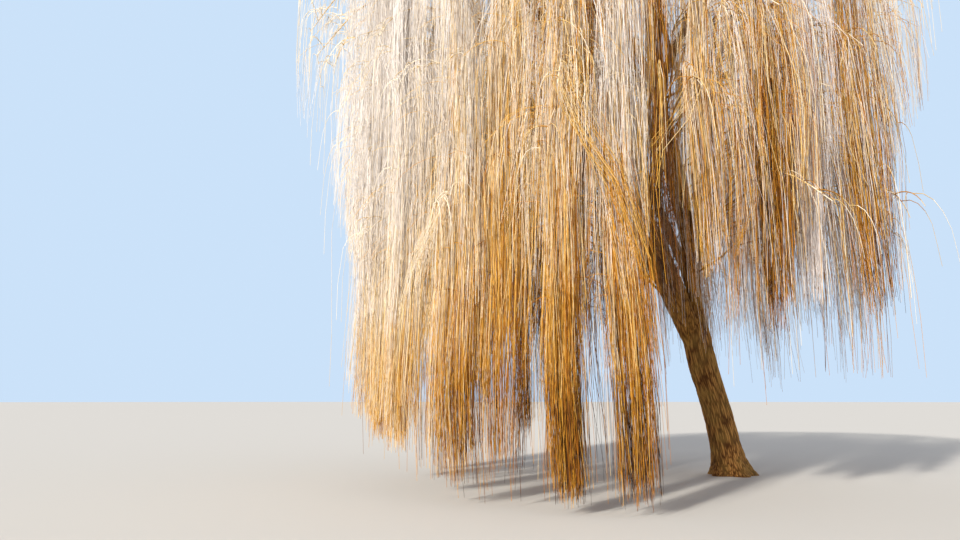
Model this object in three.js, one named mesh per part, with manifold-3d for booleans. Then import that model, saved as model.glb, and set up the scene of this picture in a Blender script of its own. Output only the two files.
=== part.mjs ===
// A leafless weeping willow in winter: a leaning trunk, limbs, boughs and curtains of hanging shoots.
// Millimetres, +Z up. The origin is the middle of the trunk's flat cut at ground level. -Y is the front.
// The crown is a dome over its own centre, which lies to the left of the trunk's foot. Places in it are
// given by a radius and a bearing about that centre: 0 is to the right, -90 to the front.
import * as THREE from "three";
import { mergeVertices } from "three/addons/utils/BufferGeometryUtils.js";
import Module from "manifold-3d";

const wasm = await Module();
wasm.setup();

// Driving sizes of the crown
const treeHeight = 17500;
const crownRadius = 9200;
const crownCentre = { x: -4000, y: -1400 };
const shoulderHeight = 14100; // the dome's height at its rim
const domePower = 2.2;
const clear = 0.3; // between two pieces that meet

// Driving sizes of the trunk, which runs on as the leader
const trunk = {
  sides: 18,
  rings: 14,
  ringPower: 1.7, // crowds the rings towards the foot
  radius: 440,
  flare: 250,
  flareHeight: 420,
  roots: 5, // swellings round the foot
  rootSwell: 0.17,
  rootHeight: 590,
  rootTurn: 0.6,
  forkHeight: 3900,
  forkLean: 870,
  leaderRadius: 255,
  leaderSettles: 1500, // height over which it narrows above the fork
  tipRadius: 110,
  tipHeight: 15700,
  topStemDrop: 230, // below its tip, where the top stems start
};

// Driving sizes of the limbs, which each end under the dome and carry two outer boughs
const limb = {
  sides: 8,
  rings: 7,
  firstHeight: 3300,
  heightStep: 600,
  radii: [270, 205, 190, 180, 170, 160], // where each leaves the trunk
  tipRadius: 100,
  endRadius: 4100,
  endHeight: 12300,
  startRise: 64, // degrees above the horizon
  endRise: 26,
};
const bough = { sides: 5, rings: 5, radius: 96, tipRadius: 62 };
// The shares of a limb's length at which its other boughs leave its side
const boughStart = { outer: 0.8, inner: 0.58, secondInner: 0.48 };

// The rings of shoot masses, from the rim of the crown to its top
const rim = {
  name: "outer_curtain",
  count: 12,
  bearing: 15,
  inner: 6150,
  outer: 9150,
  start: 700, // below the dome
  crest: 0.32, // the share of its reach at which the stem nears the dome
  droop: 900, // at its far end
  laterals: [-10, 10],
  lateralStart: 0.04,
  shoots: 4, // from each stem and lateral
  fuller: 3, // more of them on the full side
  ragged: 800, // how unevenly they end
};
const middle = {
  name: "inner_curtain",
  count: 7,
  bearing: 12,
  inner: 3350,
  outer: 5950,
  start: 700,
  crest: 0.32,
  droop: 420,
  laterals: [-15, 15],
  lateralStart: 0.06,
  shoots: 3,
  fuller: 2,
  ragged: 2400,
};
const top = {
  name: "top_curtain",
  count: 3,
  bearing: 90,
  inner: 0,
  outer: 3150,
  crest: 0.26,
  droop: 360,
  laterals: [-38, 38],
  lateralStart: 0.36,
  shoots: 4,
  fuller: 0,
  ragged: 2600,
};
const fullSide = { bearing: -140, width: 80 }; // where the shoots hang thickest

// Stems and laterals. Each drop is below the dome, at a share of the ring's reach.
const stem = {
  sides: 5,
  rings: 5,
  radius: 62,
  tipRadius: 30,
  crestDrop: 210,
  far: 0.7,
  farDrop: 110,
  tip: 0.93,
};
const lateral = {
  sides: 4,
  rings: 3,
  radius: 50,
  tipRadius: 26,
  elbow: 0.13, // by here it has swung out to its own bearing
  elbowTurn: 0.85,
  elbowDrop: 400,
  far: 0.5,
  farDrop: 220,
  tip: 0.92,
  tipDrop: 160, // more than the stem's
};

// Hanging shoots. Each solid one stands for a bunch of the fine ones.
const shoot = {
  sides: 3,
  radii: [36, 72, 0], // from its root to its tip
  downs: [0, 0.5, 1], // the shares of its drop at which it has them
  scatter: 330, // sideways from its carrier
  swing: 280, // outwards from it
  drift: 0.02, // how far it may stray for each millimetre of drop
  apart: 215,
  edge: 100, // clear of its space's edge
  woodGap: 25,
  inset: 200, // how far inside its ring's inner radius it may hang
  first: 0.14, // the shares of its carrier's length between which it leaves
  last: 0.98,
  crowding: 1.45, // towards the first
  tries: 20,
};
const fusedTolerance = 5; // how far a fused mass's faces may move, to have fewer of them

// How low the shoots hang
const skirt = {
  radius: 6950, // inside it they reach the skirt's height
  front: 130,
  left: 800, // more than the front
  right: 2700,
  middle: 3900,
  top: 8200,
  rim: 10800, // at the crown's rim
  liftPower: 0.42, // how soon they shorten outside it
};
// A gap in the curtain, through which the trunk is seen from the front
const opening = { bearing: -79, width: 10, height: 3600 };
const leftSide = { bearing: 180, width: 50 };
const rightSide = { bearing: 5, width: 80 };

const radians = THREE.MathUtils.degToRad;
const mix = THREE.MathUtils.lerp;
const smooth = (low, high, x) => THREE.MathUtils.smoothstep(x, low, high);

// The same numbers from 0 to 1 for the same seed
function seeded(seed) {
  let state = seed;
  return () => {
    state = (state + 0x6d2b79f5) >>> 0;
    let t = state;
    t = Math.imul(t ^ (t >>> 15), t | 1);
    t ^= t + Math.imul(t ^ (t >>> 7), t | 61);
    return ((t ^ (t >>> 14)) >>> 0) / 4294967296;
  };
}

const domeHeight = (radius) =>
  treeHeight - (treeHeight - shoulderHeight) * Math.pow(radius / crownRadius, domePower);

function inCrown(radius, bearing, height) {
  const turn = radians(bearing);
  return new THREE.Vector3(
    crownCentre.x + radius * Math.cos(turn),
    crownCentre.y + radius * Math.sin(turn),
    height,
  );
}

// A point that lies a drop below the dome
const underDome = (radius, bearing, drop) => inCrown(radius, bearing, domeHeight(radius) - drop);

const turnBetween = (bearing, other) => bearing - other - 360 * Math.round((bearing - other) / 360);

// How near a bearing is to a side: about 1 within half its width, falling off to nothing
const nearness = (bearing, side) => Math.exp(-((turnBetween(bearing, side.bearing) / side.width) ** 4));

// The radius and bearing of a plan place, the bearing taken as near as can be to another one
function polarOf(point, nearBearing) {
  const x = point.x - crownCentre.x;
  const y = point.y - crownCentre.y;
  const turn = turnBetween(THREE.MathUtils.radToDeg(Math.atan2(y, x)), nearBearing);
  return { radius: Math.hypot(x, y), bearing: nearBearing + turn };
}

// The height at which shoots end at a place of the rim's ring
function curtainEnd(radius, bearing) {
  const side = skirt.left * nearness(bearing, leftSide) + skirt.right * nearness(bearing, rightSide);
  const low = skirt.front + Math.max(side, opening.height * nearness(bearing, opening));
  const outside = Math.max(0, (radius - skirt.radius) / (crownRadius - skirt.radius));
  return mix(low, skirt.rim, Math.pow(outside, skirt.liftPower));
}

const shootEnds = {
  outer_curtain: curtainEnd,
  inner_curtain: () => skirt.middle,
  top_curtain: () => skirt.top,
};

// A closed rod along a curve, with its radius at each share of the curve's length
function rod(curve, { sides, rings }, radiusAt) {
  const shape = new THREE.CylinderGeometry(1, 1, 1, sides, rings);
  const frames = curve.computeFrenetFrames(rings, false);
  const place = shape.getAttribute("position");
  for (let i = 0; i < place.count; i++) {
    const share = place.getY(i) + 0.5;
    const ring = Math.round(share * rings);
    const out = Math.hypot(place.getX(i), place.getZ(i));
    const radius = out > 1e-6 ? radiusAt(share) / out : 0;
    const at = curve
      .getPointAt(share)
      .addScaledVector(frames.normals[ring], place.getX(i) * radius)
      .addScaledVector(frames.binormals[ring], -place.getZ(i) * radius);
    place.setXYZ(i, at.x, at.y, at.z);
  }
  return shape;
}

// A point on the middle line of such a rod, which is straight from ring to ring
function onRod(curve, { rings }, share) {
  const ring = Math.min(Math.floor(share * rings), rings - 1);
  return curve.getPointAt(ring / rings).lerp(curve.getPointAt((ring + 1) / rings), share * rings - ring);
}

// A closed rod of level slices, from the lowest up. Each has its middle, and its radius at a turn about it.
function slicedRod({ sides, rings, pointed = false }, middleOf, radiusOf) {
  const shape = new THREE.CylinderGeometry(1, pointed ? 0 : 1, 1, sides, rings);
  const place = shape.getAttribute("position");
  for (let i = 0; i < place.count; i++) {
    const slice = Math.round((place.getY(i) + 0.5) * rings);
    const turn = Math.atan2(-place.getZ(i), place.getX(i));
    const onAxis = Math.hypot(place.getX(i), place.getZ(i)) < 1e-6;
    const radius = onAxis ? 0 : radiusOf(slice, turn);
    const at = middleOf(slice);
    place.setXYZ(i, at.x + radius * Math.cos(turn), at.y + radius * Math.sin(turn), at.z);
  }
  return shape;
}

function solidOf(geometry) {
  geometry.deleteAttribute("normal");
  geometry.deleteAttribute("uv");
  const merged = mergeVertices(geometry, 1e-3);
  return new wasm.Manifold(
    new wasm.Mesh({
      numProp: 3,
      vertProperties: merged.getAttribute("position").array,
      triVerts: new Uint32Array(merged.index.array),
    }),
  );
}

function geometryOf(solid) {
  const { vertProperties, triVerts } = solid.getMesh();
  return new THREE.BufferGeometry()
    .setAttribute("position", new THREE.BufferAttribute(new Float32Array(vertProperties), 3))
    .setIndex(new THREE.BufferAttribute(new Uint32Array(triVerts), 1));
}

// What is left of a piece once its neighbours are cut out of it, without the scraps
function cutClearOf(solid, neighbours) {
  const cut = neighbours.reduce((rest, neighbour) => rest.subtract(neighbour), solid);
  return cut.decompose().reduce((most, part) => (part.volume() > most.volume() ? part : most));
}

// Points along everything woody, with the radius there, for keeping shoots off it
const sampleStep = 150;
const woodSamples = [];
function noteWood(curve, radiusAt) {
  const steps = Math.ceil(curve.getLength() / sampleStep);
  for (let i = 0; i <= steps; i++) {
    const share = i / steps;
    woodSamples.push({ at: curve.getPointAt(share), radius: radiusAt(share) });
  }
}

function meetsWood(points, margin) {
  return woodSamples.some(({ at, radius }) =>
    points.some((point) => point.distanceTo(at) < radius + margin),
  );
}

// A handled curve that leaves and arrives in the directions given
function sweep(from, fromWay, to, toWay) {
  const handle = 0.4 * from.distanceTo(to);
  return new THREE.CubicBezierCurve3(
    from,
    from.clone().addScaledVector(fromWay, handle),
    to.clone().addScaledVector(toWay, -handle),
    to,
  );
}

// A unit direction towards a plan bearing about the trunk, rising by so many degrees
function rising(bearing, rise) {
  const level = Math.cos(radians(rise));
  return new THREE.Vector3(
    level * Math.cos(radians(bearing)),
    level * Math.sin(radians(bearing)),
    Math.sin(radians(rise)),
  );
}

const bark = new THREE.MeshStandardMaterial({ color: 0x7a5a38, roughness: 0.95, metalness: 0 });
const twigGold = new THREE.MeshStandardMaterial({ color: 0xd3a04c, roughness: 0.7, metalness: 0 });
const twigFrost = new THREE.MeshStandardMaterial({ color: 0xe6d3b0, roughness: 0.8, metalness: 0 });

const willow = new THREE.Group();
function addPiece(name, solid, material) {
  const mesh = new THREE.Mesh(geometryOf(solid), material);
  mesh.name = name;
  willow.add(mesh);
}

// The trunk leans to the left up to its fork, and then runs upright to the middle of the crown
const trunkLine = new THREE.CatmullRomCurve3([
  new THREE.Vector3(0, 0, 0),
  new THREE.Vector3(-0.45 * trunk.forkLean, 20, 0.5 * trunk.forkHeight),
  new THREE.Vector3(-trunk.forkLean, -60, trunk.forkHeight),
  new THREE.Vector3(-trunk.forkLean - 250, -250, 8200),
  new THREE.Vector3(-2050, -700, 12000),
  new THREE.Vector3(crownCentre.x, crownCentre.y, trunk.tipHeight),
]);

function trunkRadius(height) {
  const flare = trunk.flare * Math.exp(-height / trunk.flareHeight);
  const settled = smooth(trunk.forkHeight, trunk.forkHeight + trunk.leaderSettles, height);
  const leader = mix(
    trunk.leaderRadius,
    trunk.tipRadius,
    Math.max(0, (height - trunk.forkHeight) / (trunk.tipHeight - trunk.forkHeight)),
  );
  return mix(trunk.radius, leader, settled) + flare;
}

// The trunk's axis at a height
function trunkAt(height) {
  let low = 0;
  let high = 1;
  for (let i = 0; i < 30; i++) {
    const half = (low + high) / 2;
    if (trunkLine.getPoint(half).z < height) low = half;
    else high = half;
  }
  return trunkLine.getPoint((low + high) / 2).setZ(height);
}

function trunkSolid(grow) {
  const heightOf = (slice) => trunk.tipHeight * Math.pow(slice / trunk.rings, trunk.ringPower);
  const rise = (slice) => (slice === trunk.rings ? grow : 0);
  const middleOf = (slice) => trunkAt(heightOf(slice)).setZ(heightOf(slice) + rise(slice));
  const radiusOf = (slice, turn) => {
    const swell = trunk.rootSwell * Math.exp(-heightOf(slice) / trunk.rootHeight);
    const lobes = 1 + swell * Math.cos(trunk.roots * turn + trunk.rootTurn);
    return trunkRadius(heightOf(slice)) * lobes + grow;
  };
  return solidOf(slicedRod(trunk, middleOf, radiusOf));
}

// Every woody piece, grown by the clear gap, to cut out of the pieces that come after it
const wood = [trunkSolid(clear)];
noteWood(trunkLine, (share) => trunkRadius(trunkLine.getPointAt(share).z));
addPiece("trunk", trunkSolid(0), bark);

// The limbs leave the trunk one above the other, the left one first, and end under the dome
const limbs = [];
for (let k = 0; k < limb.radii.length; k++) {
  const turn = Math.ceil(k / 2) * (k % 2 ? 60 : -60);
  const bearing = 180 + turn;
  const from = trunkAt(limb.firstHeight + k * limb.heightStep);
  const to = inCrown(limb.endRadius, bearing, limb.endHeight);
  const away = THREE.MathUtils.radToDeg(Math.atan2(to.y - from.y, to.x - from.x));
  const line = sweep(from, rising(away, limb.startRise), to, rising(bearing, limb.endRise));
  const thick = limb.radii[k];
  const radiusAt = (share) => mix(thick, limb.tipRadius, Math.pow(share, 0.8));
  const grown = solidOf(rod(line, limb, (share) => radiusAt(share) + clear));
  addPiece("limb_" + (k + 1), cutClearOf(solidOf(rod(line, limb, radiusAt)), wood), bark);
  noteWood(line, radiusAt);
  wood.push(grown);
  limbs.push({ bearing, line, grown, radiusAt });
}

// The line of a mass's stem: it goes out under the dome, and droops at its tip
function stemLine(ring, bearing) {
  const reach = (share) => mix(ring.inner, ring.outer, share);
  const fromTrunk = trunkAt(trunk.tipHeight - trunk.topStemDrop);
  return new THREE.CatmullRomCurve3([
    ring === top ? fromTrunk : underDome(ring.inner, bearing, ring.start),
    underDome(reach(ring.crest), bearing, stem.crestDrop),
    underDome(reach(stem.far), bearing, stem.farDrop),
    underDome(reach(stem.tip), bearing, ring.droop),
  ]);
}

// A bough that ends in front of a stem, and leaves its limb at a share of the limb's length
function addBough(name, carrier, share, stemCurve) {
  const atTip = share === 1;
  const way = carrier.line.getTangentAt(share);
  const toWay = stemCurve.getTangentAt(0);
  const to = stemCurve.getPointAt(0).addScaledVector(toWay, -clear);
  const from = carrier.line.getPointAt(share).addScaledVector(way, atTip ? clear : 0);
  const fromWay = atTip ? way : to.clone().sub(from).normalize().add(way).normalize();
  const line = sweep(from, fromWay, to, toWay);
  const thick = Math.min(bough.radius, 0.82 * carrier.radiusAt(share));
  const radiusAt = (along) => mix(thick, bough.tipRadius, along);
  const others = wood.filter((other) => !(atTip && other === carrier.grown));
  addPiece(name, cutClearOf(solidOf(rod(line, bough, radiusAt)), others), bark);
  noteWood(line, radiusAt);
  wood.push(solidOf(rod(line, bough, (along) => radiusAt(along) + clear)));
}

const bearings = (ring) =>
  Array.from({ length: ring.count }, (_, k) => ring.bearing + (360 / ring.count) * k);

// A ring's boughs. Each limb's first one leaves it at one share of its length, and the second at another.
function addBoughs(prefix, ring, firstShare, secondShare) {
  const carriers = [];
  bearings(ring).forEach((bearing, k) => {
    const off = (one) => Math.abs(turnBetween(one.bearing, bearing));
    const carrier = limbs.reduce((best, one) => (off(one) < off(best) ? one : best));
    const share = carriers.includes(carrier) ? secondShare : firstShare;
    carriers.push(carrier);
    addBough(prefix + (k + 1), carrier, share, stemLine(ring, bearing));
  });
}
addBoughs("outer_bough_", rim, 1, boughStart.outer);
addBoughs("inner_bough_", middle, boughStart.inner, boughStart.secondInner);

// A lateral swings out from the stem to its own bearing, and follows the dome to a drooping tip
function lateralLine(ring, bearing, offset, stemCurve) {
  const reach = (share) => mix(ring.inner, ring.outer, share);
  const from = onRod(stemCurve, stem, ring.lateralStart);
  return new THREE.CatmullRomCurve3([
    from,
    underDome(reach(lateral.elbow), bearing + lateral.elbowTurn * offset, lateral.elbowDrop),
    underDome(reach(lateral.far), bearing + offset, lateral.farDrop),
    underDome(reach(lateral.tip), bearing + offset, ring.droop + lateral.tipDrop),
  ]);
}

// The middles of a shoot's slices: it hangs from its carrier, a little outwards and to one side
function shootPath(from, way, end, random) {
  const out = new THREE.Vector3(way.x, way.y, 0).normalize();
  const across = new THREE.Vector3(-out.y, out.x, 0);
  const swing = shoot.swing * (0.4 + 0.6 * random());
  const side = shoot.scatter * (random() * 2 - 1);
  const drop = from.z - end;
  const drift = shoot.drift * drop * (random() - 0.5);
  return shoot.downs.map((down, i) =>
    from
      .clone()
      .addScaledVector(out, i > 0 ? swing : 0)
      .addScaledVector(across, i > 0 ? side + down * drift : 0)
      .setZ(from.z - down * drop),
  );
}

function shootSolid(path) {
  const rings = path.length - 1;
  const shape = { sides: shoot.sides, rings, pointed: true };
  return solidOf(slicedRod(shape, (slice) => path[rings - slice], (slice) => shoot.radii[rings - slice]));
}

// Points at small steps along a path
function pointsAlong(path) {
  return path.slice(1).flatMap((end, i) => {
    const steps = Math.ceil(path[i].distanceTo(end) / sampleStep);
    return Array.from({ length: steps }, (_, k) => path[i].clone().lerp(end, (k + 1) / steps));
  });
}

// Whether points stay inside the mass's own space
function inSpace(ring, bearing, points) {
  const half = 180 / ring.count;
  return points.every((point) => {
    const place = polarOf(point, bearing);
    const edge = radians(half - Math.abs(place.bearing - bearing)) * place.radius;
    const inside = place.radius > ring.inner - shoot.inset && place.radius < ring.outer - shoot.edge;
    return inside && edge > shoot.edge;
  });
}

// A mass: a stem, its laterals, and the shoots that hang from them, all fused
function massSolid(ring, bearing, random) {
  const stemCurve = stemLine(ring, bearing);
  const carriers = [{ line: stemCurve, shape: stem }];
  for (const offset of ring.laterals) {
    carriers.push({ line: lateralLine(ring, bearing, offset, stemCurve), shape: lateral });
  }
  const solids = carriers.map(({ line, shape }) =>
    solidOf(rod(line, shape, (share) => mix(shape.radius, shape.tipRadius, share))),
  );
  const feet = [];
  const count = ring.shoots + Math.round(ring.fuller * nearness(bearing, fullSide));
  for (const { line, shape } of carriers) {
    for (let k = 0; k < count; k++) {
      const path = findShoot(ring, bearing, line, shape, (k + 0.5) / count, 0.5 / count, feet, random);
      if (!path) continue;
      solids.push(shootSolid(path));
      feet.push(path[path.length - 1]);
    }
  }
  return solids.reduce((whole, part) => whole.add(part)).simplify(fusedTolerance);
}

// A shoot near a share of its carrier that keeps to its space, or nothing after so many tries
function findShoot(ring, bearing, line, shape, share, spread, feet, random) {
  for (let tries = 0; tries < shoot.tries; tries++) {
    const near = Math.pow(share + spread * (random() * 2 - 1), shoot.crowding);
    const at = mix(shoot.first, shoot.last, near);
    const from = onRod(line, shape, at);
    const place = polarOf(from, bearing);
    const end = shootEnds[ring.name](place.radius, place.bearing) + ring.ragged * random() * random();
    const path = shootPath(from, line.getTangentAt(at), end, random);
    const foot = path[path.length - 1];
    const crowded = feet.some((other) => Math.hypot(other.x - foot.x, other.y - foot.y) < shoot.apart);
    const points = pointsAlong(path);
    const margin = Math.max(...shoot.radii) + shoot.woodGap;
    if (!crowded && inSpace(ring, bearing, points) && !meetsWood(points, margin)) return path;
  }
  return null;
}

let seed = 1;
for (const ring of [rim, middle, top]) {
  bearings(ring).forEach((bearing, k) => {
    const solid = cutClearOf(massSolid(ring, bearing, seeded(seed++)), wood);
    // The top stems start side by side, so each is cut clear of the ones before it
    if (ring === top) wood.push(solidOf(rod(stemLine(ring, bearing), stem, () => stem.radius + clear)));
    addPiece(ring.name + "_" + (k + 1), solid, ring === rim ? twigFrost : twigGold);
  });
}

export default willow;
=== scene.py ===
import math
import time
from functools import partial
import bpy
import numpy as np
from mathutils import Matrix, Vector, noise


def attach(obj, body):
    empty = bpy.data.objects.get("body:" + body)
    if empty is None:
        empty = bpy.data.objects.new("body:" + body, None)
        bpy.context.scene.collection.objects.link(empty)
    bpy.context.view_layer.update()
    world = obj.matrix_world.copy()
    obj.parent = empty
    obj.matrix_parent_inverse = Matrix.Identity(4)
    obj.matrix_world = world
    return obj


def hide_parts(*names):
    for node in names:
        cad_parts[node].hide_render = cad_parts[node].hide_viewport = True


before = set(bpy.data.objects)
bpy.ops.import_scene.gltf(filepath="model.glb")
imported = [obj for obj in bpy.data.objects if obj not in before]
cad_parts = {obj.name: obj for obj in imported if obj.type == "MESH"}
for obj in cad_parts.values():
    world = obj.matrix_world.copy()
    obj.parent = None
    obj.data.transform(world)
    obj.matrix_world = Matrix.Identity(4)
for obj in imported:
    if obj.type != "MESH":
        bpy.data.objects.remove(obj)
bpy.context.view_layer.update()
started = time.time()
noise.seed_set(4)  # else the noise differs from run to run


def report(stage):
    print(f"{stage}: {time.time() - started:.1f} s")


# The crown is a dome over its own centre. Bearing 0 is to the right, -90 to the front.
crown = {
    "height": 17.5, "radius": 9.2, "centre": (-4.0, -1.4), "shoulder": 14.1, "domePower": 2.2,
}


def domeHeight(radius):
    fall = (np.asarray(radius) / crown["radius"]) ** crown["domePower"]
    return crown["height"] - (crown["height"] - crown["shoulder"]) * fall


def inCrown(radius, bearing, height):
    turn = np.radians(bearing)
    x = crown["centre"][0] + radius * np.cos(turn)
    y = crown["centre"][1] + radius * np.sin(turn)
    return np.array(np.broadcast_arrays(x, y, height), float)


def underDome(radius, bearing, drop):
    return inCrown(radius, bearing, domeHeight(radius) - drop)


def mix(low, high, share):
    return low + (high - low) * share


# So many numbers, evenly spaced from 0 to 1
def shares(count):
    return np.linspace(0, 1, count)


def smooth(low, high, value):
    share = np.clip((np.asarray(value, float) - low) / (high - low), 0, 1)
    return share * share * (3 - 2 * share)


def turnBetween(bearing, other):
    return bearing - other - 360 * np.round((bearing - other) / 360)


# About 1 within half a side's width, falling off to nothing
def nearness(bearing, side):
    return np.exp(-((turnBetween(bearing, side["bearing"]) / side["width"]) ** 4))


def polarOf(points, nearBearing):
    x = points[..., 0] - crown["centre"][0]
    y = points[..., 1] - crown["centre"][1]
    bearing = nearBearing + turnBetween(np.degrees(np.arctan2(y, x)), nearBearing)
    return np.hypot(x, y), bearing


# Lines are arrays of points, evenly spaced along the line

def evenly(points, count=200):
    steps = np.linalg.norm(np.diff(points, axis=0), axis=1)
    length = np.concatenate([[0], np.cumsum(steps)])
    wanted = np.linspace(0, length[-1], count + 1)
    return np.stack([np.interp(wanted, length, points[:, axis]) for axis in range(3)], axis=1)


# A centripetal curve through the points, as in the source
def smoothLine(knots):
    knots = np.array(knots, float)
    first = 2 * knots[0] - knots[1]
    last = 2 * knots[-1] - knots[-2]
    knots = np.vstack([first, knots, last])
    parts = []
    share = shares(120)[:, None]
    for a, b, c, d in zip(knots, knots[1:], knots[2:], knots[3:]):
        gaps = [math.sqrt(np.linalg.norm(q - p)) for p, q in ((a, b), (b, c), (c, d))]
        slopeB = (b - a) / gaps[0] - (c - a) / (gaps[0] + gaps[1]) + (c - b) / gaps[1]
        slopeC = (c - b) / gaps[1] - (d - b) / (gaps[1] + gaps[2]) + (d - c) / gaps[2]
        slopeB = slopeB * gaps[1]
        slopeC = slopeC * gaps[1]
        square = -3 * b + 3 * c - 2 * slopeB - slopeC
        cube = 2 * b - 2 * c + slopeB + slopeC
        parts.append(b + slopeB * share + square * share ** 2 + cube * share ** 3)
    return evenly(np.vstack(parts))


# A curve that leaves and arrives in the directions given
def sweepLine(start, startWay, end, endWay):
    handle = 0.4 * np.linalg.norm(end - start)
    points = [start, start + startWay * handle, end - endWay * handle, end]
    t = shares(300)[:, None]
    weights = [(1 - t) ** 3, 3 * t * (1 - t) ** 2, 3 * t * t * (1 - t), t ** 3]
    return evenly(sum(weight * point for weight, point in zip(weights, points)))


def along(line, share):
    place = np.clip(np.asarray(share, float), 0, 1) * (len(line) - 1)
    low = np.minimum(place.astype(int), len(line) - 2)
    part = (place - low)[..., None]
    return line[low] * (1 - part) + line[low + 1] * part


def wayAlong(line, share):
    way = along(line, np.asarray(share) + 0.01) - along(line, np.asarray(share) - 0.01)
    return way / np.linalg.norm(way, axis=-1, keepdims=True)


def lengthOf(line):
    return float(np.linalg.norm(np.diff(line, axis=0), axis=1).sum())


def headingTo(start, end):
    return math.degrees(math.atan2(end[1] - start[1], end[0] - start[0]))


def rising(bearing, rise):
    level = math.cos(math.radians(rise))
    turn = math.radians(bearing)
    return np.array([level * math.cos(turn), level * math.sin(turn), math.sin(math.radians(rise))])


# Camera, light and stage
view = {
    "place": (-7.68, -23.8, 2.25), "pitch": 9.7, "lens": 28.5, "sensor": 36, "clipEnd": 2000,
}
light = {
    "keyFrom": (-0.52, -0.78, 0.47), "keyStrength": 5.2, "keyColour": (1.0, 0.94, 0.84),
    "keySoftness": 3, "fillColour": (0.90, 0.93, 1.0), "fillStrength": 0.66,
    "backdrop": (0.60, 0.76, 0.95), "floorColour": (0.55, 0.54, 0.52), "floorRadius": 900,
    "floorSides": 96,
}


def addObject(name, data):
    made = bpy.data.objects.new(name, data)
    bpy.context.scene.collection.objects.link(made)
    return made


# Gives inputs of a node their values, or links from the outputs given
def feed(tree, node, inputs):
    for socket, value in inputs.items():
        if isinstance(value, bpy.types.NodeSocket):
            tree.links.new(value, node.inputs[socket])
        else:
            node.inputs[socket].default_value = value


def addNode(tree, kind, inputs=None, **settings):
    node = tree.nodes.new(kind)
    for name, value in settings.items():
        setattr(node, name, value)
    feed(tree, node, inputs or {})
    return node


def addSockets(tree, way, kinds):
    return {
        label: tree.interface.new_socket(label, in_out=way, socket_type="NodeSocket" + kind).identifier
        for label, kind in kinds.items()
    }


def newMaterial(name):
    material = bpy.data.materials.new(name)
    material.use_nodes = True
    return material, material.node_tree, material.node_tree.nodes["Principled BSDF"]


def plainMaterial(name, colour, roughness, specular):
    material, tree, surface = newMaterial(name)
    feed(tree, surface, {
        "Base Color": (*colour, 1), "Roughness": roughness, "Specular IOR Level": specular,
    })
    return material


def makeCamera():
    data = bpy.data.cameras.new("camera")
    data.lens = view["lens"]
    data.sensor_width = view["sensor"]
    data.clip_end = view["clipEnd"]
    camera = addObject("camera", data)
    camera.location = view["place"]
    camera.rotation_euler = (math.radians(90 + view["pitch"]), 0, 0)
    bpy.context.scene.camera = camera


def makeLight():
    data = bpy.data.lights.new("key", "SUN")
    data.energy = light["keyStrength"]
    data.color = light["keyColour"]
    data.angle = math.radians(light["keySoftness"])
    key = addObject("key", data)
    key.rotation_mode = "QUATERNION"
    key.rotation_quaternion = Vector(light["keyFrom"]).to_track_quat("Z", "Y")

    world = bpy.data.worlds.new("world")
    world.use_nodes = True
    tree = world.node_tree
    tree.nodes.clear()
    fill = addNode(tree, "ShaderNodeBackground", {
        "Color": (*light["fillColour"], 1), "Strength": light["fillStrength"],
    })
    seen = addNode(tree, "ShaderNodeBackground", {"Color": (*light["backdrop"], 1)})
    rays = addNode(tree, "ShaderNodeLightPath").outputs["Is Camera Ray"]
    blend = addNode(tree, "ShaderNodeMixShader", {0: rays, 1: fill.outputs[0], 2: seen.outputs[0]})
    addNode(tree, "ShaderNodeOutputWorld", {0: blend.outputs[0]})
    bpy.context.scene.world = world
    bpy.context.scene.view_settings.view_transform = "Standard"


def makeFloor():
    turns = np.linspace(0, 2 * np.pi, light["floorSides"] + 1)[:-1]
    corners = [(light["floorRadius"] * math.cos(t), light["floorRadius"] * math.sin(t), 0) for t in turns]
    mesh = bpy.data.meshes.new("floor")
    mesh.from_pydata(corners, [], [list(range(len(corners)))])
    mesh.materials.append(plainMaterial("paleFloor", light["floorColour"], 0.9, 0.5))
    addObject("floor", mesh)


makeCamera()
makeLight()
makeFloor()
report("camera, light and floor")


# Plain colours of the shoots, from the inner ones in painted shade to the frosted outer ones
shootShades = {
    "umber": "412509", "russet": "844c08", "amber": "b97517", "gold": "d4972c",
    "paleGold": "e5b355", "straw": "ecce95", "cream": "e9d7bb", "frost": "ecdfd1",
    # The last shade, a lilac frost, is frost in painted shade, for the crown's shaded side
    "coolFrost": "ebe5e1", "shadedLilacFrost": "dad0cc",
}
twigShades = {"twigBrown": "7a5122", "twigGold": "b07c34", "twigPale": "d3b47c", "twigFrost": "efe2cb"}


def linear(hexColour):
    values = [int(hexColour[i:i + 2], 16) / 255 for i in (0, 2, 4)]
    return tuple(v / 12.92 if v <= 0.04045 else ((v + 0.055) / 1.055) ** 2.4 for v in values)


def shades(colours, roughness):
    return [plainMaterial(name, linear(colour), roughness, 0.3) for name, colour in colours.items()]


shootMaterials = shades(shootShades, 0.6)
twigMaterials = shades(twigShades, 0.7)


# Bark: long plates with furrows between them, in relief
bark = {
    "plateWidth": 0.058, "plateLength": 0.52, "furrow": 0.42, "depth": 0.024, "level": 0.75,
    "warp": 0.045, "warpAlong": 3, "warpScale": (3, 1.3), "fine": 0.007,
    "trunk": {"depth": 1, "fine": 1, "fineScale": (14, 6), "fineShare": 0.18, "leastScale": 0.45},
    "limbs": {"depth": 0.8, "fine": 0.6, "fineScale": (18, 7), "fineShare": 0.2, "leastScale": 0.30},
}


# How high the bark stands at a point of a limb, from 0 in a furrow to 1 on a plate
def plateHeight(x, y, z, scale):
    across, down = bark["warpScale"]
    bend = noise.noise_vector(Vector((x * across, y * across, z * down)))
    place = Vector((
        (x + bend.x * bark["warp"]) / (bark["plateWidth"] * scale),
        (y + bend.y * bark["warp"]) / (bark["plateWidth"] * scale),
        (z + bend.z * bark["warp"] * bark["warpAlong"]) / (bark["plateLength"] * scale),
    ))
    near, far = noise.voronoi(place)[0][:2]
    edge = min(1.0, (far - near) / bark["furrow"])
    return edge * edge * (3 - 2 * edge)


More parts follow.
